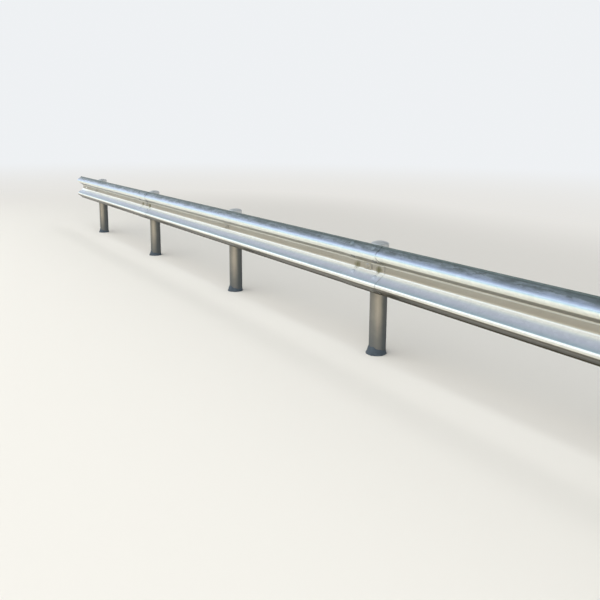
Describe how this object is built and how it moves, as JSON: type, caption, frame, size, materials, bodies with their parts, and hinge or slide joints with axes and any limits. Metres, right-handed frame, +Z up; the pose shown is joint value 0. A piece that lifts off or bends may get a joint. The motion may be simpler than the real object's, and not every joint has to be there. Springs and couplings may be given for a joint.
{
  "type": "highway guardrail section",
  "caption": "Straight row of two-wave pressed steel guardrail beam, lapped and slotted, on channel brackets and round capped tube posts with mortar foot collars.",
  "frame": {"origin": "on the ground at the axis of the first post, by the free end of the row", "axes": "+X along the rail, -Y towards the traffic that the beam faces, +Z up"},
  "size_m": [10.82, 0.2512, 0.7556],
  "materials": {
    "beam_steel": "new hot-dip galvanised steel sheet, smooth and fairly bright, with faint spangle",
    "post_steel": "dull hot-dip galvanised steel tube, matt and dusty",
    "cap_steel": "pressed galvanised steel cap, half matt",
    "bracket_steel": "galvanised pressed steel, matt",
    "mortar": "damp grey cement mortar, trowelled, rough"
  },
  "bodies": {
    "root": {"rail_panel_1": "beam_steel", "rail_panel_2": "beam_steel", "rail_panel_3": "beam_steel", "post_1": "post_steel", "post_cap_1": "cap_steel", "bracket_1": "bracket_steel", "grout_collar_1": "mortar", "post_2": "post_steel", "post_cap_2": "cap_steel", "bracket_2": "bracket_steel", "grout_collar_2": "mortar", "post_3": "post_steel", "post_cap_3": "cap_steel", "bracket_3": "bracket_steel", "grout_collar_3": "mortar", "post_4": "post_steel", "post_cap_4": "cap_steel", "bracket_4": "bracket_steel", "grout_collar_4": "mortar", "post_5": "post_steel", "post_cap_5": "cap_steel", "bracket_5": "bracket_steel", "grout_collar_5": "mortar", "post_6": "post_steel", "post_cap_6": "cap_steel", "bracket_6": "bracket_steel", "grout_collar_6": "mortar"}
  },
  "joints": []
}
